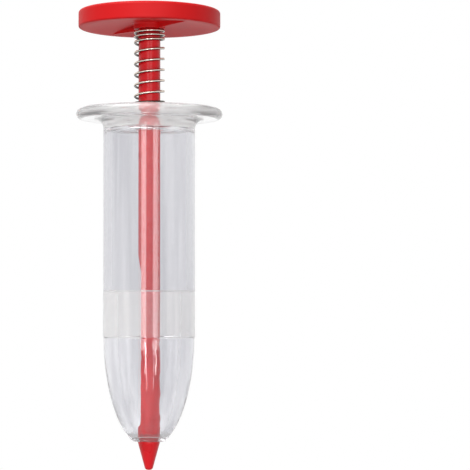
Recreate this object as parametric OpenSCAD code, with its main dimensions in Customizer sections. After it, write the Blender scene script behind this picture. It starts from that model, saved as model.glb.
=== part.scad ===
// Hand seed sower with a sprung plunger.
//
// A clear barrel with a finger flange holds the seeds. A clear nozzle pushes into its open end. A red plunger
// runs down the axis: a thumb cap pressed on a long rod, held up by a return spring. At rest the round end of
// the rod plugs the outlet. When the cap is pressed, a flat on the rod comes down into the outlet and lets
// seeds past.
//
// Millimetres. The axis is Z, and the tip of the plunger stands on z = 0.

/* [Barrel] */
// Outside diameter of the barrel
barrel_d = 24.8; // [23.5:0.1:27]
// Wall of the barrel
barrel_wall = 2.25; // [1.6:0.05:2.8]
// Length of the barrel, from its open end to the top of the finger flange
barrel_l = 61.5; // [54:0.5:80]
// Diameter of the finger flange
flange_d = 39.5; // [36:0.5:46]
// Thickness of the finger flange, whose rim is a full round
flange_t = 2.9; // [2.2:0.1:3.6]
// Radius of the fillet where the flange meets the barrel
flange_fillet = 2.5; // [1:0.1:3]
// Radius of the fillet round the inside of the barrel's closed end
ceiling_fillet = 1.5; // [0.6:0.1:2.4]
// Thickness of the barrel's closed end, from the flange's top down to the ceiling; the rod is guided in it
end_t = 5.25; // [4.6:0.05:7]
// Diameter of the boss that stands on the flange round the rod
boss_d = 10.4; // [10:0.1:12]
// Height of the boss above the flange, where the spring stands
boss_top_h = 1.2; // [0.6:0.1:2]

/* [Nozzle] */
// Length of the nozzle outside the barrel, from its shoulder to its mouth
nozzle_l = 27.8; // [24:0.2:36]
// Radial step where the nozzle's shoulder meets the barrel's end
shoulder_step = 0.15; // [0:0.05:0.4]
// Diameter of the nozzle's flat mouth
mouth_d = 8.9; // [8:0.1:11]
// Thickness of the nozzle's floor round the outlet
floor_t = 1.9; // [1.2:0.1:2.6]
// Diameter of the funnel where it meets the floor
funnel_d = 6.8; // [6.6:0.1:7.8]
// Length of the spigot that pushes into the barrel
spigot_l = 12.6; // [8:0.2:18]
// Wall of the spigot
spigot_wall = 1.65; // [1.2:0.05:2]
// Bevel that leads the spigot into the barrel
spigot_bevel = 0.4; // [0.2:0.1:0.8]
// Radial clearance of the spigot in the barrel
spigot_fit = 0.05; // [0.02:0.01:0.1]

/* [Plunger rod] */
// Diameter of the rod
rod_d = 5.9; // [5.4:0.1:6.2]
// Radial running clearance of the rod in the closed end and in the outlet
rod_fit = 0.08; // [0.04:0.01:0.1]
// Length of the pointed tip
tip_l = 7.3; // [5:0.1:11]
// Radius of the tip's rounded end
tip_end_r = 1.3; // [0.8:0.1:2]
// Length of round rod that shows between the tip and the nozzle's mouth
tip_proud = 0.5; // [0.2:0.1:1.5]
// Length of the round plug above the mouth, which closes the outlet
plug_l = 4.25; // [3:0.25:8]
// Depth of the flat that lets seeds past
flat_depth = 0.85; // [0.4:0.05:1.4]
// Length of the flat at its full depth
flat_l = 40; // [25:1:44]
// Length over which the flat runs out at its upper end
flat_runout = 5; // [2:0.5:8]
// Diameter of the collar that stops the rod in a recess of the closed end
collar_d = 7.4; // [7:0.1:9]
// Thickness of the stop collar, and depth of its recess
collar_t = 0.8; // [0.6:0.1:1.6]
// Radial clearance of the collar in its recess
collar_fit = 0.2; // [0.1:0.05:0.4]

/* [Thumb cap] */
// Diameter of the thumb cap
cap_d = 38.3; // [34:0.5:44]
// Height of the cap's rim
cap_h = 4.65; // [4:0.05:6]
// Rounding of the rim's two edges
cap_round = 1; // [0.4:0.1:1.4]
// Depth of the thumb dish in the top
dish_depth = 0.8; // [0.3:0.1:1.2]
// Width of the flat ring left round the thumb dish
dish_margin = 2.4; // [2:0.1:4]
// Width of the rim round the hollow underside
cap_rim_w = 1.9; // [1.5:0.1:3]
// Depth of the ball-shaped hollow in the underside
hollow_depth = 1.35; // [0.6:0.05:1.6]
// Diameter of the hub that holds the rod
hub_d = 8.5; // [8:0.1:9.6]
// Distance that the hub stands below the rim
hub_drop = 0.3; // [0:0.1:1]
// Depth of the hub's socket
socket_l = 3.4; // [2.6:0.1:3.6]
// Radial clearance of the rod in the socket
socket_fit = 0.02; // [0.01:0.01:0.05]
// Thickness of the two gussets that run from the hub out to the rim
gusset_w = 0.8; // [0.6:0.1:1.4]
// Height above the rim's lower edge at which a gusset runs out
gusset_end_h = 0.15; // [0.1:0.05:0.4]
// Direction of the first gusset, turned from +X
gusset_angle = -53; // [-90:1:90]

/* [Return spring] */
// Length of the spring between its seat and the hub
spring_l = 20.35; // [18:0.05:24]
// Outside diameter of the spring
spring_d = 8.45; // [8:0.05:9]
// Diameter of the spring's wire
wire_d = 0.65; // [0.4:0.05:0.7]
// Number of curls from end to end
curl_count = 8.7; // [6:0.1:10]
// Number of curls that lie close at the upper end
close_curl_count = 1.9; // [1:0.1:2.5]
// Number of curls over which they open to the full pitch
opening_curl_count = 0.8; // [0.5:0.1:1.5]
// Number of curls that lie flat on the seat at the lower end
flat_curl_count = 0.25; // [0.1:0.05:0.3]
// Number of curls over which the pitch runs out on to the seat
settling_curl_count = 0.55; // [0.4:0.05:1]
// Gap between the wires of the close curls
close_gap = 0.44; // [0.42:0.01:0.6]
// Gap left between the spring and what it bears on
spring_fit = 0.02; // [0.01:0.01:0.05]

/* [Hidden] */
$fn = 96;
over = 0.01;             // how far touching shapes of one piece run into each other
clear_plastic = [0.86, 0.88, 0.91, 0.45];
red_plastic = [0.89, 0.11, 0.12];
spring_steel = [0.62, 0.61, 0.58];

// Radii
barrel_r = barrel_d / 2;
bore_r = barrel_r - barrel_wall;
flange_r = flange_d / 2;
boss_r = boss_d / 2;
spigot_r = bore_r - spigot_fit;
spigot_bore_r = spigot_r - spigot_wall;
nozzle_r = barrel_r - shoulder_step;
mouth_r = mouth_d / 2;
rod_r = rod_d / 2;
guide_r = rod_r + rod_fit;
recess_r = collar_d / 2 + collar_fit;
cap_r = cap_d / 2;
hub_r = hub_d / 2;
wire_r = wire_d / 2;

// Heights, stacked up from the tip
mouth_z = tip_l + tip_proud;
floor_z = mouth_z + floor_t;
plug_z = mouth_z + plug_l;
shoulder_z = mouth_z + nozzle_l;
spigot_z = shoulder_z + spigot_l;
flange_top_z = shoulder_z + barrel_l;
flange_z = flange_top_z - flange_t;
ceiling_z = flange_top_z - end_t;
guide_z = ceiling_z + collar_t;
seat_z = flange_top_z + boss_top_h;
hub_z = seat_z + spring_l;
cap_z = hub_z + hub_drop;
hollow_z = cap_z + hollow_depth;
hollow_r = cap_r - cap_rim_w;
dish_r = cap_r - dish_margin;
cap_top_z = cap_z + cap_h;
socket_z = hub_z + socket_l;

// Spring: close curls at the upper end, then a pitch that fills the height, then a flat end on the seat
curl_rings = 8;
curl_sides = 6;
spring_rings = round(curl_count * curl_rings);
ring_step = curl_count / spring_rings;
spring_coil_r = spring_d / 2 - wire_r;
spring_start_angle = 18;                       // the upper end of the wire, turned from +X
spring_drop = spring_l - wire_d - 2 * spring_fit;
close_pitch = wire_d + close_gap;
function ramp(share) = min(1, max(0, share));
// Share of the extra pitch at a number of curls from the top: 0 in the close curls, 1 below them
function open_share(curl) = ramp((curl - close_curl_count) / opening_curl_count);
// Share of the whole pitch: 1, until it runs out above the flat end
function fall_share(curl) = ramp((curl_count - flat_curl_count - curl) / settling_curl_count);
ring_curls = [for (i = [0:spring_rings - 1]) (i + 0.5) * ring_step];
function total(list, i = 0, sum = 0) =
    i == len(list) ? sum : total(list, i + 1, sum + list[i]);
fall_curls = ring_step * total([for (curl = ring_curls) fall_share(curl)]);
open_curls = ring_step * total([for (curl = ring_curls) fall_share(curl) * open_share(curl)]);
extra_pitch = (spring_drop - close_pitch * fall_curls) / open_curls;
ring_drops = [
    for (curl = ring_curls) ring_step * fall_share(curl) * (close_pitch + extra_pitch * open_share(curl))
];
spring_drops = [
    for (i = 0, drop = 0; i <= spring_rings; drop = drop + (i < spring_rings ? ring_drops[i] : 0), i = i + 1)
        drop
];
function spring_angle(i) = spring_start_angle - 360 * ring_step * i;
function spring_point(i) = [
    spring_coil_r * cos(spring_angle(i)),
    spring_coil_r * sin(spring_angle(i)),
    hub_z - spring_fit - wire_r - spring_drops[i]
];
spring_path = [for (i = [0:spring_rings]) spring_point(i)];

// Least distance between the wire's centre line and itself, at least half a curl further on, less one wire
function spring_self_gap() = min([
    for (i = [0:spring_rings], j = [i + curl_rings / 2:spring_rings])
        norm(spring_path[i] - spring_path[j])
]) - wire_d;
echo(spring_least_gap = spring_self_gap());

// A quarter fillet that fills the corner at the origin, towards +X and -Y
module corner_fillet(r) {
    difference() {
        translate([-over, -r]) square([r + over, r + over]);
        translate([r, -r]) circle(r = r);
    }
}

// The part of an ellipse that runs from the height top_z, where its radius is wide_r, down to the height
// end_z, where its radius is end_r
function ellipse_points(wide_r, end_r, top_z, end_z, steps) =
    let (last = acos(end_r / wide_r), reach = (top_z - end_z) / sin(last))
    [for (i = [0:steps]) [wide_r * cos(last * i / steps), top_z - reach * sin(last * i / steps)]];

function reversed(list) = [for (i = [len(list) - 1:-1:0]) list[i]];

// Barrel: tube, finger flange with a full-round rim, and the boss on its closed end
module barrel_outline() {
    translate([0, shoulder_z]) square([barrel_r, barrel_l]);
    translate([0, flange_z]) square([flange_r - flange_t / 2, flange_t]);
    translate([flange_r - flange_t / 2, flange_z + flange_t / 2]) circle(d = flange_t);
    translate([barrel_r, flange_z]) corner_fillet(flange_fillet);
    translate([0, flange_top_z - over]) square([boss_r, boss_top_h + over]);
}

// Space inside the barrel: the bore with the ceiling's fillet left standing, and the collar's recess
module barrel_space() {
    difference() {
        translate([0, shoulder_z - over]) square([bore_r, ceiling_z - shoulder_z + over]);
        translate([bore_r, ceiling_z]) mirror([1, 0]) corner_fillet(ceiling_fillet);
    }
    translate([0, ceiling_z - over]) square([recess_r, collar_t + over]);
}

module barrel() {
    color(clear_plastic)
        rotate_extrude()
            difference() {
                barrel_outline();
                barrel_space();
                translate([0, guide_z - over]) square([guide_r, seat_z - guide_z + 2 * over]);
            }
}

// Nozzle: spigot, shoulder, elliptical nose, funnel and outlet in one wall
module nozzle() {
    outside = ellipse_points(nozzle_r, mouth_r, shoulder_z, mouth_z, 20);
    funnel = ellipse_points(spigot_bore_r, funnel_d / 2, shoulder_z, floor_z, 16);
    spigot = [
        [spigot_bore_r, spigot_z],
        [spigot_r - spigot_bevel, spigot_z],
        [spigot_r, spigot_z - spigot_bevel],
        [spigot_r, shoulder_z]
    ];
    outlet = [[guide_r, mouth_z], [guide_r, floor_z]];
    color(clear_plastic)
        rotate_extrude()
            polygon(concat(outside, outlet, reversed(funnel), spigot));
}

// Plunger rod: pointed tip, round plug, flat for the seeds, stop collar and the end pressed into the cap
module tip_outline() {
    polygon([[0, tip_end_r], [tip_end_r, tip_end_r], [rod_r, tip_l], [rod_r, plug_z], [0, plug_z]]);
    intersection() {
        translate([0, tip_end_r]) circle(r = tip_end_r);
        square([tip_end_r, tip_end_r + over]);
    }
}

// What the flat takes off the rod's -X side: a short ledge above the plug and a long run-out at the top
module flat_cut() {
    flat_x = rod_r - flat_depth;
    flat_top_z = plug_z + flat_l;
    outside_x = 2 * rod_r;
    rotate([90, 0, 0])
        linear_extrude(height = 2 * outside_x, center = true)
            polygon([
                [-outside_x, plug_z],
                [-rod_r, plug_z],
                [-flat_x, plug_z + flat_depth],
                [-flat_x, flat_top_z],
                [-rod_r, flat_top_z + flat_runout],
                [-outside_x, flat_top_z + flat_runout]
            ]);
}

module plunger_rod() {
    color(red_plastic) {
        difference() {
            union() {
                rotate_extrude() tip_outline();
                translate([0, 0, plug_z - over]) cylinder(r = rod_r, h = socket_z - plug_z);
                translate([0, 0, ceiling_z]) cylinder(d = collar_d, h = collar_t);
            }
            flat_cut();
        }
    }
}

// Thumb cap: disc with rounded rim, thumb dish, hollow underside, hub with a blind socket, and two gussets
module cap_outline() {
    edge_r = cap_r - cap_round;
    translate([0, cap_z]) square([edge_r, cap_h]);
    translate([0, cap_z + cap_round]) square([cap_r, cap_h - 2 * cap_round]);
    for (z = [cap_z + cap_round, cap_top_z - cap_round])
        translate([edge_r, z]) circle(r = cap_round);
}

// A shallow bowl, part of a ball, that is sunk to its depth into a face which looks down
module bowl_outline(edge_r, depth) {
    ball_r = (pow(edge_r, 2) + pow(depth, 2)) / (2 * depth);
    intersection() {
        translate([0, depth - ball_r]) circle(r = ball_r, $fn = 720);
        translate([0, -over]) square([cap_r, depth + 2 * over]);
    }
}

// A thin plate under the hollow, level with the hub's face and nearly gone where it meets the rim
module gusset() {
    root_r = (rod_r + hub_r) / 2;
    rotate([90, 0, 0])
        linear_extrude(height = gusset_w, center = true)
            polygon([
                [root_r, hub_z],
                [hub_r, hub_z],
                [hollow_r, cap_z + gusset_end_h],
                [hollow_r, hollow_z + over],
                [root_r, hollow_z + over]
            ]);
}

module thumb_cap() {
    color(red_plastic) {
        rotate_extrude()
            difference() {
                union() {
                    difference() {
                        cap_outline();
                        translate([0, cap_z]) bowl_outline(hollow_r, hollow_depth);
                    }
                    translate([0, hub_z]) square([hub_r, hollow_z - hub_z + over]);
                }
                translate([0, hub_z - over]) square([rod_r + socket_fit, socket_l + over]);
                translate([0, cap_top_z]) mirror([0, 1]) bowl_outline(dish_r, dish_depth);
            }
        for (turn = [0, 180])
            rotate([0, 0, gusset_angle + turn]) gusset();
    }
}

// Return spring: one wire swept along the curls, ring by ring, with its two ends closed
module return_spring() {
    rings = len(spring_path);
    points = [
        for (i = [0:rings - 1], side = [0:curl_sides - 1])
            let (around = 360 * side / curl_sides, outward = spring_angle(i))
            spring_path[i] + wire_r * [
                cos(around) * cos(outward),
                cos(around) * sin(outward),
                sin(around)
            ]
    ];
    walls = [
        for (i = [0:rings - 2], side = [0:curl_sides - 1])
            let (
                next = (side + 1) % curl_sides,
                a = i * curl_sides + side,
                b = i * curl_sides + next,
                c = a + curl_sides,
                d = b + curl_sides
            )
            each [[a, b, d], [a, d, c]]
    ];
    first = 0;
    last = (rings - 1) * curl_sides;
    ends = [
        for (side = [1:curl_sides - 2])
            each [[first, first + side + 1, first + side], [last, last + side, last + side + 1]]
    ];
    color(spring_steel) polyhedron(points = points, faces = concat(walls, ends));
}

barrel();
nozzle();
plunger_rod();
thumb_cap();
return_spring();
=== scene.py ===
"""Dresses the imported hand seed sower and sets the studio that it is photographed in.

Each piece of the sower is a class that holds its sizes in millimetres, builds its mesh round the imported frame
and gives it its finish. The sower stands on its tip at the origin, with its axis along Z and its thumb cap at
the top. The barrel, the nozzle, the rod and the cap are turned from outlines, as on a lathe.
"""

import logging
import math
from dataclasses import dataclass
from enum import Enum
from functools import cache
from typing import NamedTuple

import bpy
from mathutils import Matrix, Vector


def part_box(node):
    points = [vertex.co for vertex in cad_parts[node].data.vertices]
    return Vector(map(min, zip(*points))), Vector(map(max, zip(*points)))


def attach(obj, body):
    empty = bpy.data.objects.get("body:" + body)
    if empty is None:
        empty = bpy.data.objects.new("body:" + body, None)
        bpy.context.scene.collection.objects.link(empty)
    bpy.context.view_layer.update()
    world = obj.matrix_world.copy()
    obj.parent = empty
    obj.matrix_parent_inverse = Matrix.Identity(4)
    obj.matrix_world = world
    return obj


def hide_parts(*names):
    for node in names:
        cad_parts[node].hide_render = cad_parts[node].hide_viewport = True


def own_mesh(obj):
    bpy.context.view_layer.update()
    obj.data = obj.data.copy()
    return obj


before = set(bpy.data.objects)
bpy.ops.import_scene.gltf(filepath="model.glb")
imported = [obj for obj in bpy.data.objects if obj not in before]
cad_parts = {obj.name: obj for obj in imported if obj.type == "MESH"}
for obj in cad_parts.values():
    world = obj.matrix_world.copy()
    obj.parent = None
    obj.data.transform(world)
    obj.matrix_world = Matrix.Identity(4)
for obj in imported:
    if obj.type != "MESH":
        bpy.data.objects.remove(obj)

LOG = logging.getLogger("seed_sower")
MM = 0.001                      # metres in a millimetre
MERGE = 1e-6                    # metres under which two points are one
CLIP = (0.01, 20.0)             # metres from the camera between which things are seen
BOUNCES = 32                    # of light in all, enough for the clear walls
CLEAR_BOUNCES = 24              # of light off gloss, and as many through clear walls
MIX_FIRST = 6                   # a Mix node's input for its first colour
MIX_SECOND = 7                  # its input for the second
MIX_RESULT = 2                  # its output for the two mixed


class Body(Enum):
    """The moving bodies that the pieces ride on."""

    BARREL = "barrel"
    SPRING = "spring"
    PLUNGER = "plunger"
    NOZZLE = "nozzle"


class Slot(Enum):
    """The record's material slots."""

    CLEAR = "clear_plastic"
    RED = "red_plastic"
    WIRE = "spring_wire"


class Side(Enum):
    """A side of a turned wall, as the sign of how far its faces look away from the axis."""

    OUTSIDE = 1
    INSIDE = -1


class Operation(Enum):
    """What a tool does to the piece that it is combined with."""

    CUT = "DIFFERENCE"
    JOIN = "UNION"


class Corner(NamedTuple):
    """A corner of a turned outline, in millimetres: radius from the axis, height and rounding."""

    radius: float
    height: float
    rounding: float = 0.0


@dataclass(frozen=True)
class Levels:
    """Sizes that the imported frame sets, in millimetres: heights above the tip, and outer radii."""

    mouth: float
    shoulder: float
    spigot_top: float
    seat: float
    hub: float
    cap_top: float
    barrel_rim: float
    cap_rim: float

    @classmethod
    def from_frame(cls) -> "Levels":
        """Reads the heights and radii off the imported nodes' boxes.

        Returns:
            The levels of the sower as packed.
        """
        barrel_low, barrel_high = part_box("barrel")
        nozzle_low, nozzle_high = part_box("nozzle")
        cap_low, cap_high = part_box("thumb_cap")
        return cls(
            mouth=nozzle_low.z / MM,
            shoulder=barrel_low.z / MM,
            spigot_top=nozzle_high.z / MM,
            seat=barrel_high.z / MM,
            hub=cap_low.z / MM,
            cap_top=cap_high.z / MM,
            barrel_rim=barrel_high.x / MM,
            cap_rim=cap_high.x / MM,
        )


# ----------------------------------------------------------------------------------------------------
# Modelling by operators
# ----------------------------------------------------------------------------------------------------


def deselect() -> None:
    """Leaves edit mode if need be and deselects every object."""
    if bpy.context.object and bpy.context.object.mode != "OBJECT":
        bpy.ops.object.mode_set(mode="OBJECT")
    bpy.ops.object.select_all(action="DESELECT")


def activate(piece: bpy.types.Object) -> None:
    """Makes one object the only selected one and the active one.

    Args:
        piece: The object.
    """
    deselect()
    piece.select_set(True)
    bpy.context.view_layer.objects.active = piece


def modify(piece: bpy.types.Object, kind: str, **settings: object) -> None:
    """Adds a modifier to a piece and applies it.

    Args:
        piece: The mesh object to change.
        kind: The modifier's type, such as "BOOLEAN".
        settings: The modifier's properties.
    """
    activate(piece)
    bpy.ops.object.modifier_add(type=kind)
    modifier = piece.modifiers[-1]
    for name, value in settings.items():
        setattr(modifier, name, value)
    bpy.ops.object.modifier_apply(modifier=modifier.name)


def combine(piece: bpy.types.Object, tool: bpy.types.Object, operation: Operation) -> None:
    """Cuts a tool out of a piece, or joins it on, and deletes the tool.

    Args:
        piece: The mesh object that stays.
        tool: The mesh object that is used up.
        operation: What the tool does.
    """
    modify(piece, "BOOLEAN", object=tool, operation=operation.value, solver="EXACT")
    bpy.data.objects.remove(tool)


def smooth(piece: bpy.types.Object, degrees: float = 30.0) -> None:
    """Shades a piece smooth, except across edges sharper than an angle in degrees."""
    activate(piece)
    bpy.ops.object.shade_smooth_by_angle(angle=math.radians(degrees))


def rounded(corner: Corner, before: Corner, after: Corner, step_degrees: float) -> list[Vector]:
    """Rounds one corner of an outline with an arc.

    Args:
        corner: The corner.
        before: The corner before it.
        after: The corner after it.
        step_degrees: The most that the outline turns from one point to the next on the arc.

    Returns:
        The arc's points in millimetres, or the corner's own point where it stays sharp.
    """
    straight = math.radians(1)
    here = Vector(corner[:2])
    back = (Vector(before[:2]) - here).normalized()
    ahead = (Vector(after[:2]) - here).normalized()
    turn = math.pi - back.angle(ahead)
    if corner.rounding <= 0 or turn < straight:
        return [here]
    reach = corner.rounding * math.tan(turn / 2)
    centre = here + (back + ahead).normalized() * (corner.rounding / math.cos(turn / 2))
    start, end = here + back * reach - centre, here + ahead * reach - centre
    steps = max(2, math.ceil(math.degrees(turn) / step_degrees))
    points = []
    for share in (k / steps for k in range(steps + 1)):
        arm = start * math.sin((1 - share) * turn) + end * math.sin(share * turn)
        points.append(centre + arm / math.sin(turn))
    return points


def softened(corners: list[Corner], closed: bool, step_degrees: float = 7.5) -> list[tuple[float, float]]:
    """Rounds an outline's corners with arcs.

    A long straight stretch also gets a point close to each of its ends, so that it shades flat.

    Args:
        corners: The outline's corners in order.
        closed: Whether the last corner joins the first.
        step_degrees: The most that the outline turns from one point to the next on an arc.

    Returns:
        The outline's points, as radius and height in millimetres.
    """
    long_stretch, hold = 1.5, 0.2
    points: list[Vector] = []
    count = len(corners)
    for i, corner in enumerate(corners):
        if not closed and i in (0, count - 1):
            points.append(Vector(corner[:2]))
        else:
            points += rounded(corner, corners[i - 1], corners[(i + 1) % count], step_degrees)
    held: list[Vector] = []
    for i, here in enumerate(points):
        held.append(here)
        if not closed and i == len(points) - 1:
            break
        run = points[(i + 1) % len(points)] - here
        if run.length > long_stretch:
            held += [here + run.normalized() * hold, here + run - run.normalized() * hold]
    return [(p.x, p.y) for p in held]


def turned(name: str, outline: list[tuple[float, float]], closed: bool, steps: int) -> bpy.types.Object:
    """Turns an outline round the sower's axis, as on a lathe.

    Args:
        name: The piece's name.
        outline: Points as radius and height in millimetres.
        closed: Whether the last point joins the first. An open outline starts and ends on the axis.
        steps: Number of steps round the axis.

    Returns:
        The turned mesh object, at the origin.
    """
    deselect()
    bpy.ops.mesh.primitive_plane_add(size=MM)
    piece = bpy.context.object
    piece.name = piece.data.name = name
    bpy.ops.object.mode_set(mode="EDIT")
    bpy.ops.mesh.merge(type="CENTER")
    bpy.ops.transform.translate(value=(outline[0][0] * MM, 0, outline[0][1] * MM))
    route = outline + outline[:1] if closed else outline
    for (radius, height), (next_radius, next_height) in zip(route, route[1:]):
        step = ((next_radius - radius) * MM, 0, (next_height - height) * MM)
        bpy.ops.mesh.extrude_region_move(TRANSFORM_OT_translate={"value": step})
    bpy.ops.mesh.select_all(action="SELECT")
    bpy.ops.mesh.remove_doubles(threshold=MERGE)
    bpy.ops.mesh.spin(steps=steps, angle=math.tau, center=(0, 0, 0), axis=(0, 0, 1), use_auto_merge=True)
    bpy.ops.mesh.select_all(action="SELECT")
    bpy.ops.mesh.remove_doubles(threshold=MERGE)
    bpy.ops.mesh.normals_make_consistent(inside=False)
    bpy.ops.object.mode_set(mode="OBJECT")
    return piece


def dress_as(
    piece: bpy.types.Object, node: str, body: Body, material: bpy.types.Material
) -> None:
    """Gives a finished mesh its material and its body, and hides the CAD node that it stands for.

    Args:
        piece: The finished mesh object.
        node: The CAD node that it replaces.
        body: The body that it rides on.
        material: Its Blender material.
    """
    piece.data.materials.clear()
    piece.data.materials.append(material)
    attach(piece, body.value)
    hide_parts(node)


def repaint(
    piece: bpy.types.Object,
    material: bpy.types.Material,
    low: float,
    high: float,
    side: Side = Side.OUTSIDE,
) -> None:
    """Gives another material to a zone of a turned piece.

    Args:
        piece: The turned mesh object.
        material: The other material.
        low: The height in millimetres that the zone starts at.
        high: The height in millimetres that it ends at.
        side: The side of the wall that is meant.
    """
    piece.data.materials.append(material)
    last = len(piece.data.materials) - 1
    for face in piece.data.polygons:
        outward = Vector(face.center[:2]).dot(Vector(face.normal[:2]))
        if outward * side.value > 0 and low < face.center[2] / MM < high:
            face.material_index = last


# ----------------------------------------------------------------------------------------------------
# Finishes
# ----------------------------------------------------------------------------------------------------


def linear(hex_colour: str) -> tuple[float, float, float, float]:
    """Turns an sRGB hex colour into a linear one.

    Args:
        hex_colour: The colour, such as "#C81E22".

    Returns:
        Red, green, blue and alpha, from 0 to 1.
    """
    channels = [int(hex_colour[i:i + 2], 16) / 255 for i in (1, 3, 5)]
    red, green, blue = (c / 12.92 if c <= 0.04045 else ((c + 0.055) / 1.055) ** 2.4 for c in channels)
    return red, green, blue, 1.0


def add_node(tree: bpy.types.NodeTree, kind: str, settings: dict[str | int, object]) -> bpy.types.Node:
    """Adds a node to a tree with its settings and links.

    Args:
        tree: The node tree.
        kind: The node's type, such as "ShaderNodeTexNoise".
        settings: Values by name. A name in lower case is a property of the node. Any other name, or a number,
            is an input socket. A socket's value may be another node's output, which is then linked.

    Returns:
        The new node.
    """
    node = tree.nodes.new(kind)
    for name, value in settings.items():
        if isinstance(name, str) and name[0].islower():
            setattr(node, name, value)
        elif isinstance(value, bpy.types.NodeSocket):
            tree.links.new(value, node.inputs[name])
        else:
            node.inputs[name].default_value = value
    return node


def blank_material(name: str) -> bpy.types.Material:
    """Makes a node material with nothing in it.

    Args:
        name: The material's name.

    Returns:
        The material.
    """
    material = bpy.data.materials.new(name)
    material.use_nodes = True
    material.node_tree.nodes.clear()
    return material


def mottle(
    tree: bpy.types.NodeTree, detail: float, width: float, length: float = 0.0
) -> bpy.types.NodeSocket:
    """Lays soft patches of a real size over a piece, fixed to the piece.

    Args:
        tree: The node tree.
        detail: How many finer layers the patches have.
        width: The size of a patch across the sower's axis, in millimetres.
        length: Its size along the axis, or nothing where that is the width too.

    Returns:
        The output socket of the patches' value, from 0 to 1.
    """
    place = add_node(tree, "ShaderNodeTexCoord", {}).outputs["Object"]
    across = 1 / (width * MM)
    along = 1 / ((length or width) * MM)
    stretched = add_node(tree, "ShaderNodeMapping", {"Vector": place, "Scale": (across, across, along)})
    patches = add_node(
        tree, "ShaderNodeTexNoise", {"Vector": stretched.outputs["Vector"], "Scale": 1.0, "Detail": detail}
    )
    return patches.outputs["Fac"]


@dataclass(frozen=True)
class ClearStyrene:
    """Crystal styrene, injection moulded.

    It gives the eye a glassy wall with bright rims. Faint flow lines along the moulding make what lies behind
    waver, and where a thick tint is given, soft bands of it run the same way.
    """

    name: str
    tint: str                        # what is left of white after a face in and a face out
    haze: float                      # share of the light that a face scatters
    thick_tint: str = ""             # the tint where the wall is thicker, or nothing for an even wall
    refraction: float = 1.57
    roughness: float = 0.02
    band_width: float = 4.2          # millimetres across a thicker band, which runs along the moulding
    band_length: float = 70.0        # millimetres
    band_start: float = 0.35         # patch value at which a wall begins to be thicker
    band_full: float = 0.65          # patch value at which it is thickest
    flow_width: float = 1.6          # millimetres across a flow line
    flow_length: float = 26.0        # millimetres along a flow line
    flow_depth: float = 0.006        # millimetres

    @cache
    def material(self) -> bpy.types.Material:
        """Builds the Blender material the first time that it is asked for.

        Returns:
            The material.
        """
        material = blank_material(self.name)
        tree = material.node_tree
        bands = mottle(tree, detail=2.0, width=self.band_width, length=self.band_length)
        thick = add_node(
            tree,
            "ShaderNodeMapRange",
            {"Value": bands, "From Min": self.band_start, "From Max": self.band_full},
        )
        tint = add_node(
            tree,
            "ShaderNodeMix",
            {
                "data_type": "RGBA",
                "Factor": thick.outputs["Result"],
                MIX_FIRST: linear(self.tint),
                MIX_SECOND: linear(self.thick_tint or self.tint),
            },
        )
        lines = mottle(tree, detail=1.0, width=self.flow_width, length=self.flow_length)
        bump = add_node(
            tree, "ShaderNodeBump", {"Height": lines, "Distance": self.flow_depth * MM, "Strength": 1.0}
        )
        shell = add_node(
            tree,
            "ShaderNodeBsdfPrincipled",
            {
                "Base Color": tint.outputs[MIX_RESULT],
                "Roughness": self.roughness,
                "IOR": self.refraction,
                "Transmission Weight": 1.0 - self.haze,
                "Normal": bump.outputs["Normal"],
            },
        )
        add_node(tree, "ShaderNodeOutputMaterial", {"Surface": shell.outputs["BSDF"]})
        return material


@dataclass(frozen=True)
class MouldedRed:
    """Red ABS, injection moulded.

    It gives the eye an even, strong red with a soft sheen: the mould's fine grain breaks up the gloss.
    """

    name: str
    colour: str
    cloud_colour: str                # where the pigment has flowed a little thicker
    roughness: float
    sheen: float = 0.3               # how strongly the surface reflects, where 0.5 is a bare polish
    refraction: float = 1.53
    gloss_change: float = 0.04       # how far the roughness strays with the clouds
    grain: float = 0.35              # millimetres across a grain, coarser than the mould's real one to show
    grain_depth: float = 0.004       # millimetres
    cloud: float = 9.0               # millimetres across a cloud of pigment

    @cache
    def material(self) -> bpy.types.Material:
        """Builds the Blender material the first time that it is asked for.

        Returns:
            The material.
        """
        material = blank_material(self.name)
        tree = material.node_tree
        clouds = mottle(tree, detail=2.0, width=self.cloud)
        colour = add_node(
            tree,
            "ShaderNodeMix",
            {
                "data_type": "RGBA",
                "Factor": clouds,
                MIX_FIRST: linear(self.colour),
                MIX_SECOND: linear(self.cloud_colour),
            },
        )
        gloss = add_node(
            tree,
            "ShaderNodeMapRange",
            {
                "Value": clouds,
                "To Min": self.roughness - self.gloss_change,
                "To Max": self.roughness + self.gloss_change,
            },
        )
        grain = mottle(tree, detail=1.0, width=self.grain)
        bump = add_node(
            tree, "ShaderNodeBump", {"Height": grain, "Distance": self.grain_depth * MM, "Strength": 1.0}
        )
        shell = add_node(
            tree,
            "ShaderNodeBsdfPrincipled",
            {
                "Base Color": colour.outputs[MIX_RESULT],
                "Roughness": gloss.outputs["Result"],
                "IOR": self.refraction,
                "Specular IOR Level": self.sheen,
                "Normal": bump.outputs["Normal"],
            },
        )
        add_node(tree, "ShaderNodeOutputMaterial", {"Surface": shell.outputs["BSDF"]})
        return material


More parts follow.
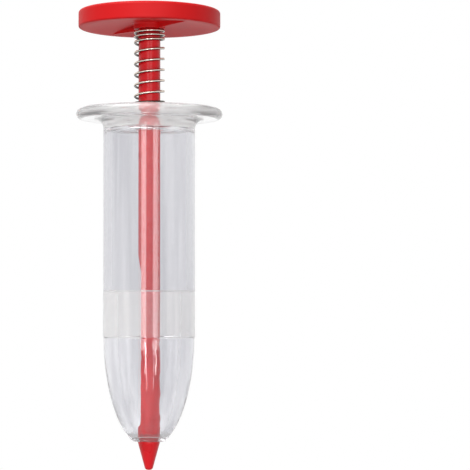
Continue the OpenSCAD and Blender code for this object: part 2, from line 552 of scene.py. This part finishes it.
@dataclass(frozen=True)
class SpringWire:
    """Drawn spring steel wire.

    It gives the eye a grey metal, broken by faint drawing marks.
    """

    name: str
    bright: str
    dull: str
    roughness: float = 0.2
    gloss_change: float = 0.08       # how far the roughness strays with the marks
    mark: float = 0.5                # millimetres between drawing marks, coarser than the real ones to show

    @cache
    def material(self) -> bpy.types.Material:
        """Builds the Blender material the first time that it is asked for.

        Returns:
            The material.
        """
        material = blank_material(self.name)
        tree = material.node_tree
        marks = mottle(tree, detail=3.0, width=self.mark)
        colour = add_node(
            tree,
            "ShaderNodeMix",
            {
                "data_type": "RGBA",
                "Factor": marks,
                MIX_FIRST: linear(self.dull),
                MIX_SECOND: linear(self.bright),
            },
        )
        gloss = add_node(
            tree,
            "ShaderNodeMapRange",
            {
                "Value": marks,
                "To Min": self.roughness + self.gloss_change,
                "To Max": self.roughness - self.gloss_change,
            },
        )
        shell = add_node(
            tree,
            "ShaderNodeBsdfPrincipled",
            {
                "Base Color": colour.outputs[MIX_RESULT],
                "Roughness": gloss.outputs["Result"],
                "Metallic": 1.0,
            },
        )
        add_node(tree, "ShaderNodeOutputMaterial", {"Surface": shell.outputs["BSDF"]})
        return material


# Glassy and nearly colourless: the clear walls' inner faces, and what has no finish of its own below.
CLEAR = ClearStyrene("clear moulded styrene", "#FAFAFB", 0.01)
# A little grey in soft bands: the barrel's outside.
HANDLED = ClearStyrene("clear moulded styrene, handled face", "#E4E4E8", 0.03, "#C9C9CF")
# Pale and cloudy, so that the rod looks pink through it: the finger flange and the closed end.
MILKY = ClearStyrene("clear moulded styrene, milky flange", "#FFFFFF", 0.34)
# Lighter than the rest of the barrel: the outside round the spigot.
FITTED = ClearStyrene("clear moulded styrene, over the fit", "#FFFFFF", 0.04, "#E2E2E6")
# Hardly seen, because faces that touch hardly reflect: the fit itself.
CONTACT = ClearStyrene("clear moulded styrene, tight fit", "#FFFFFF", 0.08, refraction=1.2)
# A white, cloudy line, a painted highlight: the spigot's upper edge.
HIGHLIGHT_EDGE = ClearStyrene("clear moulded styrene, painted highlight edge", "#FFFFFF", 0.5)
# Clearer and more wavy than the barrel, with broken glints down the rod: the nozzle's outside.
NOSE = ClearStyrene(
    "clear moulded styrene, nose",
    "#F0F0F4",
    0.005,
    "#C9C9CF",
    flow_width=2.0,
    flow_length=3.2,
    flow_depth=0.07,
)
# A grey, slightly cloudy ring: the nozzle's mouth.
MOUTH = ClearStyrene("clear moulded styrene, mouth", "#C9C9CB", 0.14)
# Full red with a broad, weak sheen: the thumb cap.
CAP_RED = MouldedRed("red moulded ABS, fine grain", "#E0161A", "#D81317", 0.5, sheen=0.22)
# Brighter red than the cap, smoother, with a highlight down its length: the rod. The brighter red is painted
# light, for the strong light on the rod inside the clear barrel.
ROD_RED = MouldedRed("red moulded ABS, polished", "#FC1422", "#F6121F", 0.28, grain_depth=0.002)
# Dark grey metal, darker than bare steel: painted shade, on the wire's foot, its underside and the side toward
# the rod.
SHADED_WIRE = SpringWire("drawn spring steel", "#6C6660", "#3B3835")
# Warm white metal, a painted highlight along each curl: the wire's outer side.
HIGHLIT_WIRE = SpringWire("drawn spring steel, painted highlight", "#F4E6D9", "#BDB0A4")


# ----------------------------------------------------------------------------------------------------
# Pieces
# ----------------------------------------------------------------------------------------------------


def ellipse(wide: float, end: float, top: float, bottom: float, steps: int) -> list[Corner]:
    """Follows an ellipse down from its widest radius to a smaller one.

    Args:
        wide: The radius at the top.
        end: The radius at the bottom.
        top: The height of the widest place.
        bottom: The height of the end.
        steps: Number of steps between them.

    Returns:
        The corners from top to bottom.
    """
    last = math.acos(end / wide)
    reach = (top - bottom) / math.sin(last)
    angles = [last * i / steps for i in range(steps + 1)]
    return [Corner(wide * math.cos(a), top - reach * math.sin(a)) for a in angles]


def bowl(edge: float, depth: float, inner: float, rings: int = 12) -> list[tuple[float, float]]:
    """Follows a shallow ball-shaped bowl from its edge in to an inner radius.

    Args:
        edge: The radius at the bowl's edge.
        depth: The bowl's depth on the axis.
        inner: The radius to stop at.
        rings: Number of steps.

    Returns:
        Radius and depth of each point, in millimetres.
    """
    ball = (edge ** 2 + depth ** 2) / (2 * depth)
    radii = [edge + (inner - edge) * i / rings for i in range(rings + 1)]
    return [(radius, math.sqrt(ball ** 2 - radius ** 2) - ball + depth) for radius in radii]


@dataclass
class Barrel:
    """The clear barrel: tube, finger flange, and the closed end that the rod runs in, in one moulding."""

    levels: Levels
    radius: float = 12.4
    wall: float = 2.25
    flange_thickness: float = 2.9
    flange_fillet: float = 2.5
    end_thickness: float = 5.25      # of the closed end, from the flange's top to the ceiling
    ceiling_fillet: float = 1.5
    boss_radius: float = 5.2
    boss_height: float = 1.2
    guide_radius: float = 3.03
    recess_radius: float = 3.9       # of the recess that the rod's collar stops in
    recess_depth: float = 0.8
    edge: float = 0.25               # rounding of a moulded edge
    milky_depth: float = 8.0         # how far below the seat the moulding is milky
    steps: int = 160

    def build(self) -> bpy.types.Object:
        """Turns the barrel.

        Returns:
            The mesh object.
        """
        top = self.levels.seat - self.boss_height
        flange = top - self.flange_thickness
        ceiling = top - self.end_thickness
        recess = ceiling + self.recess_depth
        rim = self.levels.barrel_rim
        bore = self.radius - self.wall
        low = self.levels.shoulder
        corners = [
            Corner(bore, low, self.edge),
            Corner(self.radius, low, self.edge),
            Corner(self.radius, self.levels.spigot_top),
            Corner(self.radius, flange, self.flange_fillet),
            Corner(rim, flange, self.flange_thickness / 2),
            Corner(rim, top, self.flange_thickness / 2),
            Corner(self.boss_radius, top, self.edge),
            Corner(self.boss_radius, self.levels.seat, self.edge),
            Corner(self.guide_radius, self.levels.seat, self.edge),
            Corner(self.guide_radius, recess),
            Corner(self.recess_radius, recess),
            Corner(self.recess_radius, ceiling, self.edge / 2),
            Corner(bore, ceiling, self.ceiling_fillet),
            Corner(bore, self.levels.spigot_top),
        ]
        piece = turned("clear_barrel", softened(corners, closed=True), closed=True, steps=self.steps)
        smooth(piece)
        return piece

    def dress(self, piece: bpy.types.Object) -> None:
        """Finishes the barrel: handled outside, milky flange, and the zone that the spigot fills.

        Args:
            piece: The barrel's mesh object.
        """
        dress_as(piece, "barrel", Body.BARREL, CLEAR.material())
        low, fit_top, seat = self.levels.shoulder, self.levels.spigot_top, self.levels.seat
        milky_low = seat - self.milky_depth
        repaint(piece, FITTED.material(), low, fit_top)
        repaint(piece, CONTACT.material(), low, fit_top, Side.INSIDE)
        repaint(piece, HANDLED.material(), fit_top, milky_low)
        repaint(piece, MILKY.material(), milky_low, seat)


@dataclass
class Nozzle:
    """The clear nozzle: spigot, shoulder, elliptical nose, funnel and outlet in one moulding."""

    levels: Levels
    radius: float = 12.25
    mouth_radius: float = 4.45
    outlet_radius: float = 3.03
    floor_thickness: float = 1.9
    funnel_end_radius: float = 3.4
    spigot_radius: float = 10.1
    spigot_wall: float = 1.65
    bevel: float = 0.4
    edge: float = 0.2
    mouth_band: float = 2.0          # height of the cloudy ring at the mouth
    steps: int = 160
    ellipse_steps: int = 36

    def build(self) -> bpy.types.Object:
        """Turns the nozzle.

        Returns:
            The mesh object.
        """
        low, shoulder, top = self.levels.mouth, self.levels.shoulder, self.levels.spigot_top
        floor = low + self.floor_thickness
        bore = self.spigot_radius - self.spigot_wall
        nose = ellipse(self.radius, self.mouth_radius, shoulder, low, self.ellipse_steps)
        funnel = ellipse(bore, self.funnel_end_radius, shoulder, floor, self.ellipse_steps)
        corners = [
            nose[0]._replace(rounding=self.edge),
            *nose[1:-1],
            nose[-1]._replace(rounding=self.edge),
            Corner(self.outlet_radius, low, self.edge),
            Corner(self.outlet_radius, floor, self.edge),
            *reversed(funnel),
            Corner(bore, top, self.edge),
            Corner(self.spigot_radius - self.bevel, top),
            Corner(self.spigot_radius, top - self.bevel),
            Corner(self.spigot_radius, shoulder, self.edge),
        ]
        piece = turned("clear_nozzle", softened(corners, closed=True), closed=True, steps=self.steps)
        smooth(piece)
        return piece

    def dress(self, piece: bpy.types.Object) -> None:
        """Finishes the nozzle: wavy nose, cloudy mouth, and the spigot's fit and the painted highlight on its
        edge.

        Args:
            piece: The nozzle's mesh object.
        """
        dress_as(piece, "nozzle", Body.NOZZLE, CLEAR.material())
        low, shoulder, top = self.levels.mouth, self.levels.shoulder, self.levels.spigot_top
        mouth_top, bevel_low = low + self.mouth_band, top - self.bevel
        repaint(piece, NOSE.material(), mouth_top, shoulder - self.edge)
        repaint(piece, MOUTH.material(), low, mouth_top)
        repaint(piece, CONTACT.material(), shoulder + self.edge, bevel_low)
        # the spigot's upper edge gets a white, cloudy finish as a painted highlight
        repaint(piece, HIGHLIGHT_EDGE.material(), bevel_low, top)


@dataclass
class PlungerRod:
    """The red rod: pointed tip, plug, flat for the seeds, stop collar and the end inside the cap."""

    levels: Levels
    radius: float = 2.95
    tip_length: float = 7.3
    point_radius: float = 0.95
    point_rounding: float = 0.9
    collar_radius: float = 3.7
    collar_thickness: float = 0.8
    collar_below_seat: float = 5.65
    plug_length: float = 4.25
    flat_depth: float = 0.85
    flat_length: float = 40.0
    flat_runout: float = 5.0
    socket_depth: float = 3.4
    edge: float = 0.15
    steps: int = 96

    def build(self) -> bpy.types.Object:
        """Turns the rod and cuts its flat.

        Returns:
            The mesh object.
        """
        collar_top = self.levels.seat - self.collar_below_seat
        collar_low = collar_top - self.collar_thickness
        end = self.levels.hub + self.socket_depth
        corners = [
            Corner(0, 0),
            Corner(self.point_radius, 0, self.point_rounding),
            Corner(self.radius, self.tip_length, self.edge * 2),
            Corner(self.radius, collar_low, self.edge),
            Corner(self.collar_radius, collar_low, self.edge),
            Corner(self.collar_radius, collar_top, self.edge),
            Corner(self.radius, collar_top, self.edge),
            Corner(self.radius, end, self.edge),
            Corner(0, end),
        ]
        piece = turned("plunger_rod_dressed", softened(corners, closed=False), closed=False, steps=self.steps)
        combine(piece, self.flat_tool(), Operation.CUT)
        smooth(piece)
        return piece

    def flat_tool(self) -> bpy.types.Object:
        """Makes the block that cuts the flat: a box whose ends slope, the upper one over the run-out.

        Returns:
            The block.
        """
        width, margin = 4 * self.radius, self.radius
        low = self.levels.mouth + self.plug_length
        deep = self.radius - self.flat_depth
        deselect()
        bpy.ops.mesh.primitive_cube_add(size=1, location=(0, 0, 0))
        tool = bpy.context.object
        upper_end = self.flat_depth + self.flat_length
        for vertex in tool.data.vertices:
            inner, upper = vertex.co.x > 0, vertex.co.z > 0
            slope = 0 if inner else self.flat_runout * margin / self.flat_depth
            ledge = 0 if inner else margin
            vertex.co.x = -deep if inner else -deep - margin
            vertex.co.y = math.copysign(width / 2, vertex.co.y)
            vertex.co.z = low + (upper_end + slope if upper else self.flat_depth - ledge)
            vertex.co *= MM
        return tool

    def dress(self, piece: bpy.types.Object) -> None:
        """Finishes the rod."""
        dress_as(piece, "plunger_rod", Body.PLUNGER, ROD_RED.material())
# the rod's red is brightened with painted light


@dataclass
class ThumbCap:
    """The red thumb cap: dished disc with a rounded rim, hollow underside, hub and two gussets."""

    levels: Levels
    height: float = 4.65
    rim_rounding: float = 0.8
    lower_rounding: float = 0.5
    dish_depth: float = 0.8
    dish_margin: float = 2.4
    rim_width: float = 1.9
    hollow_depth: float = 1.35
    hub_radius: float = 4.25
    socket_radius: float = 2.97
    socket_depth: float = 3.4
    gusset_width: float = 0.8
    gusset_end: float = 0.15         # height above the rim's lower edge at which a gusset runs out
    gusset_turn: float = -53.0       # degrees from +X
    gusset_step: float = 0.02        # how far a gusset stays above the hub's face
    crease_rounding: float = 3.0     # where the hollow meets the rim
    brim_rounding: float = 4.0       # where the dish meets the rim
    edge: float = 0.25
    steps: int = 160

    def build(self) -> bpy.types.Object:
        """Turns the cap and joins its gussets on.

        Returns:
            The mesh object.
        """
        hub, top, rim = self.levels.hub, self.levels.cap_top, self.levels.cap_rim
        low = top - self.height
        socket = hub + self.socket_depth
        hollow = bowl(rim - self.rim_width, self.hollow_depth, self.hub_radius)
        dish = bowl(rim - self.dish_margin, self.dish_depth, 0)
        corners = [
            Corner(0, socket),
            Corner(self.socket_radius, socket),
            Corner(self.socket_radius, hub, self.edge),
            Corner(self.hub_radius, hub, self.edge),
            Corner(hollow[-1][0], low + hollow[-1][1], self.edge * 2),
            *(Corner(radius, low + depth) for radius, depth in reversed(hollow[1:-1])),
            Corner(hollow[0][0], low, self.crease_rounding),
            Corner(rim, low, self.lower_rounding),
            Corner(rim, top, self.rim_rounding),
            Corner(dish[0][0], top, self.brim_rounding),
            *(Corner(radius, top - depth) for radius, depth in dish[1:]),
        ]
        piece = turned("thumb_cap_dressed", softened(corners, closed=False), closed=False, steps=self.steps)
        for half_turn in (0, 180):
            combine(piece, self.gusset(self.gusset_turn + half_turn), Operation.JOIN)
        smooth(piece)
        return piece

    def gusset(self, turn: float) -> bpy.types.Object:
        """Makes one gusset: a thin plate, level with the hub's face and nearly gone where it meets the rim.

        Args:
            turn: Its direction from +X, in degrees.

        Returns:
            The plate, at the origin.
        """
        sunk = 0.3
        root, end = self.hub_radius - sunk, self.levels.cap_rim - self.rim_width + sunk
        low = self.levels.cap_top - self.height
        deselect()
        bpy.ops.mesh.primitive_cube_add(size=1, location=(0, 0, 0))
        plate = bpy.context.object
        for vertex in plate.data.vertices:
            outer, upper = vertex.co.x > 0, vertex.co.z > 0
            lower_edge = low + self.gusset_end if outer else self.levels.hub + self.gusset_step
            vertex.co.x = end if outer else root
            vertex.co.y *= self.gusset_width
            vertex.co.z = low + self.hollow_depth + sunk if upper else lower_edge
            vertex.co *= MM
        plate.rotation_euler.z = math.radians(turn)
        bpy.ops.object.transform_apply()
        return plate

    def dress(self, piece: bpy.types.Object) -> None:
        """Finishes the cap."""
        dress_as(piece, "thumb_cap", Body.PLUNGER, CAP_RED.material())


@dataclass
class ReturnSpring:
    """The return spring: one wire, close at its upper end and flat on its seat at the lower one."""

    levels: Levels
    outer_radius: float = 4.225
    wire_radius: float = 0.325
    curls: float = 8.7
    close_curls: float = 1.9
    opening_curls: float = 0.8
    flat_curls: float = 0.25
    settling_curls: float = 0.55
    close_gap: float = 0.44
    fit: float = 0.02
    start_angle: float = 18.0        # degrees, the wire's upper end turned from +X
    points_per_curl: int = 40
    section_steps: int = 4           # the wire's round section has twice this many sides and 4 more
    crease: float = 40.0             # degrees, the least angle of an edge that stays sharp
    shaded_foot: float = 1.3           # height above the seat up to which the wire keeps its painted shade all round
    highlight_outward: float = 0.3      # how far a face with the painted highlight looks out at least, where 1 is straight out
    highlight_down: float = -0.5        # how far down it looks at most, where -1 is straight down
    highlight_up: float = 0.8           # how far up it looks at most, where 1 is straight up
    travel: float = 12.0             # of the plunger

    def path(self) -> list[Vector]:
        """Works out the wire's centre line, from its upper end down.

        Returns:
            Points in metres.
        """
        count = round(self.curls * self.points_per_curl)
        step = self.curls / count
        middles = [(i + 0.5) * step for i in range(count)]
        opened = [min(1.0, max(0.0, (m - self.close_curls) / self.opening_curls)) for m in middles]
        flat_from = self.curls - self.flat_curls
        falling = [min(1.0, max(0.0, (flat_from - m) / self.settling_curls)) for m in middles]
        close_pitch = 2 * self.wire_radius + self.close_gap
        drop = self.levels.hub - self.levels.seat - 2 * (self.wire_radius + self.fit)
        open_share = sum(o * f for o, f in zip(opened, falling))
        extra = (drop - close_pitch * sum(falling) * step) / (open_share * step)
        height = self.levels.hub - self.fit - self.wire_radius
        reach = self.outer_radius - self.wire_radius
        points = []
        for i in range(count + 1):
            angle = math.radians(self.start_angle - 360 * step * i)
            points.append(Vector((reach * math.cos(angle), reach * math.sin(angle), height)) * MM)
            if i < count:
                height -= step * falling[i] * (close_pitch + extra * opened[i])
        return points

    def build(self) -> bpy.types.Object:
        """Sweeps the wire along its centre line and closes its ends.

        Returns:
            The mesh object.
        """
        points = self.path()
        deselect()
        bpy.ops.curve.primitive_nurbs_path_add()
        wire = bpy.context.object
        wire.name = "return_spring_dressed"
        line = wire.data
        line.splines.clear()
        spline = line.splines.new("POLY")
        spline.points.add(len(points) - 1)
        for place, point in zip(spline.points, points):
            place.co = (*point, 1.0)
        line.dimensions = "3D"
        line.twist_mode = "Z_UP"
        line.bevel_depth = self.wire_radius * MM
        line.bevel_resolution = self.section_steps
        line.use_fill_caps = True
        bpy.ops.object.convert(target="MESH")
        wire = bpy.context.object
        wire.data.name = wire.name
        bpy.ops.object.mode_set(mode="EDIT")
        bpy.ops.mesh.select_all(action="SELECT")
        bpy.ops.mesh.remove_doubles(threshold=MERGE)
        bpy.ops.mesh.normals_make_consistent(inside=False)
        bpy.ops.object.mode_set(mode="OBJECT")
        smooth(wire, self.crease)
        return wire

    def paint_highlight(self, wire: bpy.types.Object) -> None:
        """Paints a highlight on the wire's outer side, above its foot.

        Args:
            wire: The dressed spring's mesh object.
        """
        wire.data.materials.append(HIGHLIT_WIRE.material())
        # outward faces that look neither straight up nor straight down, above the foot, get the painted
        # highlight
        for face in wire.data.polygons:
            outward = Vector(face.center[:2]).normalized().dot(Vector(face.normal[:2]))
            level = self.highlight_down < face.normal[2] < self.highlight_up
            above = face.center[2] / MM > self.levels.seat + self.shaded_foot
            if outward > self.highlight_outward and level and above:
                face.material_index = 1

    def dress(self, wire: bpy.types.Object) -> None:
        """Finishes the spring with painted shade and a painted highlight, and gives it a mesh of its own.

        Args:
            wire: The spring's mesh object.
        """
        # the whole wire starts dark grey, as painted shade
        dress_as(wire, "return_spring", Body.SPRING, SHADED_WIRE.material())
        self.paint_highlight(wire)
        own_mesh(wire)


# ----------------------------------------------------------------------------------------------------
# Studio
# ----------------------------------------------------------------------------------------------------


@dataclass(frozen=True)
class Softbox:
    """One area lamp that points at the middle of the sower."""

    name: str
    place: tuple[float, float, float]   # metres
    width: float                        # metres
    height: float
    watts: float

    def add(self, target: Vector) -> None:
        """Adds the lamp.

        Args:
            target: The place that it points at, in metres.
        """
        deselect()
        bpy.ops.object.light_add(type="AREA", location=self.place)
        lamp = bpy.context.object
        lamp.name = lamp.data.name = self.name
        lamp.data.shape = "RECTANGLE"
        lamp.data.size, lamp.data.size_y = self.width, self.height
        lamp.data.energy = self.watts
        aim = target - Vector(self.place)
        lamp.rotation_euler = aim.to_track_quat("-Z", "Y").to_euler()


@dataclass
class Studio:
    """Pale floor, white surround, soft lamps and the camera."""

    levels: Levels
    fill: float = 0.25                  # the surround's light on the sower, where 1 is white
    floor_height: float = -75.0         # millimetres, under the nozzle when it is pulled off
    floor_radius: float = 900.0
    floor_sides: int = 96
    floor_lit: str = "#9E9E9E"          # the floor as it throws light back on the sower
    floor_seen: str = "#F4F4F4"         # the floor as it is seen
    fade_near: float = 50.0             # millimetres from the axis at which the seen floor starts to whiten
    fade_far: float = 200.0
    least_white: float = 0.5            # how white the seen floor is before that
    mm_per_pixel: float = 0.27
    picture: int = 470                  # pixels on a side
    eye_row: float = 295.0              # the photo's row that is level with the camera
    tip_row: float = 468.7
    axis_column: float = 149.3
    distance: float = 500.0             # millimetres from the camera to the axis
    film_width: float = 36.0            # millimetres
    lamps: tuple[Softbox, ...] = (
        # Two tall windows, each a light strip down the rod.
        Softbox("left window", (-0.22, -0.87, 0.13), 0.20, 0.40, 1.0),
        Softbox("right window", (0.25, -0.86, 0.13), 0.21, 0.40, 1.0),
        # Two small low strips, which carry the windows' strips on into the nozzle.
        Softbox("left low strip", (-0.048, -0.28, -0.022), 0.016, 0.085, 0.05),
        Softbox("right low strip", (0.079, -0.28, -0.022), 0.016, 0.085, 0.05),
        # The main light, from the upper left.
        Softbox("overhead softbox", (-0.28, -0.40, 0.82), 0.80, 0.50, 6.8),
    )

    def build(self) -> None:
        """Makes the whole studio."""
        self.surround()
        self.floor()
        middle = Vector((0, 0, self.levels.cap_top / 2 * MM))
        for lamp in self.lamps:
            lamp.add(middle)
        self.camera()

    def surround(self) -> None:
        """Makes the world white to the eye and through glass and gloss, and dimmer as a lamp."""
        world = bpy.data.worlds.new("white surround")
        bpy.context.scene.world = world
        world.use_nodes = True
        tree = world.node_tree
        tree.nodes.clear()
        strength = add_node(
            tree, "ShaderNodeMapRange", {"Value": self.seen(tree), "To Min": self.fill, "To Max": 1.0}
        )
        light = add_node(
            tree, "ShaderNodeBackground", {"Color": (1, 1, 1, 1), "Strength": strength.outputs["Result"]}
        )
        add_node(tree, "ShaderNodeOutputWorld", {"Surface": light.outputs["Background"]})

    @staticmethod
    def seen(tree: bpy.types.NodeTree) -> bpy.types.NodeSocket:
        """Gives 1 for a ray from the camera, off gloss or through glass, and 0 for a ray of light.

        Args:
            tree: The node tree.

        Returns:
            The output socket of that value.
        """
        path = add_node(tree, "ShaderNodeLightPath", {})
        seen = path.outputs["Is Camera Ray"]
        for kind in ("Is Glossy Ray", "Is Transmission Ray"):
            either = add_node(
                tree, "ShaderNodeMath", {"operation": "MAXIMUM", 0: seen, 1: path.outputs[kind]}
            )
            seen = either.outputs["Value"]
        return seen

    def floor(self) -> None:
        """Adds the pale floor, which keeps the sower's shadow and fades to the white surround."""
        deselect()
        bpy.ops.mesh.primitive_circle_add(
            vertices=self.floor_sides,
            radius=self.floor_radius * MM,
            fill_type="NGON",
            location=(0, 0, self.floor_height * MM),
        )
        floor = bpy.context.object
        floor.name = "floor"
        bpy.ops.object.transform_apply()
        material = blank_material("pale paper floor")
        tree = material.node_tree
        colour = add_node(
            tree,
            "ShaderNodeMix",
            {
                "data_type": "RGBA",
                "Factor": self.seen(tree),
                MIX_FIRST: linear(self.floor_lit),
                MIX_SECOND: linear(self.floor_seen),
            },
        )
        paper = add_node(tree, "ShaderNodeBsdfDiffuse", {"Color": colour.outputs[MIX_RESULT]})
        white = add_node(tree, "ShaderNodeEmission", {"Color": (1, 1, 1, 1), "Strength": 1.0})
        place = add_node(tree, "ShaderNodeTexCoord", {}).outputs["Object"]
        flat = add_node(tree, "ShaderNodeVectorMath", {"operation": "MULTIPLY", 0: place, 1: (1, 1, 0)})
        away = add_node(tree, "ShaderNodeVectorMath", {"operation": "LENGTH", 0: flat.outputs["Vector"]})
        fade = add_node(
            tree,
            "ShaderNodeMapRange",
            {
                "interpolation_type": "SMOOTHSTEP",
                "Value": away.outputs["Value"],
                "From Min": self.fade_near * MM,
                "From Max": self.fade_far * MM,
                "To Min": self.least_white,
            },
        )
        keep = add_node(
            tree,
            "ShaderNodeMath",
            {"operation": "MULTIPLY", 0: fade.outputs["Result"], 1: self.seen(tree)},
        )
        mixed = add_node(
            tree,
            "ShaderNodeMixShader",
            {"Fac": keep.outputs["Value"], 1: paper.outputs["BSDF"], 2: white.outputs["Emission"]},
        )
        add_node(tree, "ShaderNodeOutputMaterial", {"Surface": mixed.outputs["Shader"]})
        floor.data.materials.append(material)

    def camera(self) -> None:
        """Sets the camera at the photo's eye level, with the sower at its place in the picture."""
        middle = self.picture / 2
        eye = (self.tip_row - self.eye_row) * self.mm_per_pixel
        target = Vector((middle - self.axis_column, 0, self.tip_row - middle)) * self.mm_per_pixel
        place = Vector((0, -self.distance, eye))
        deselect()
        bpy.ops.object.camera_add(location=place * MM)
        camera = bpy.context.object
        camera.name = camera.data.name = "camera"
        view = target - place
        camera.rotation_euler = view.to_track_quat("-Z", "Y").to_euler()
        camera.data.sensor_width = self.film_width
        camera.data.lens = self.film_width * view.length / (self.picture * self.mm_per_pixel)
        camera.data.clip_start, camera.data.clip_end = CLIP
        bpy.context.scene.camera = camera


def main() -> None:
    """Builds the sower's pieces and the studio, and logs how many faces each piece has."""
    logging.basicConfig(level=logging.INFO, format="%(name)s: %(message)s")
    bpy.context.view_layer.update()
    levels = Levels.from_frame()
    for kind in (Barrel, Nozzle, PlungerRod, ThumbCap, ReturnSpring):
        part = kind(levels)
        piece = part.build()
        part.dress(piece)
        LOG.info("%s: %d faces", piece.name, len(piece.data.polygons))
    Studio(levels).build()

    scene = bpy.context.scene
    scene.view_settings.view_transform = "Standard"
    scene.cycles.max_bounces = BOUNCES
    scene.cycles.glossy_bounces = scene.cycles.transmission_bounces = CLEAR_BOUNCES


if __name__ == "__main__":
    main()
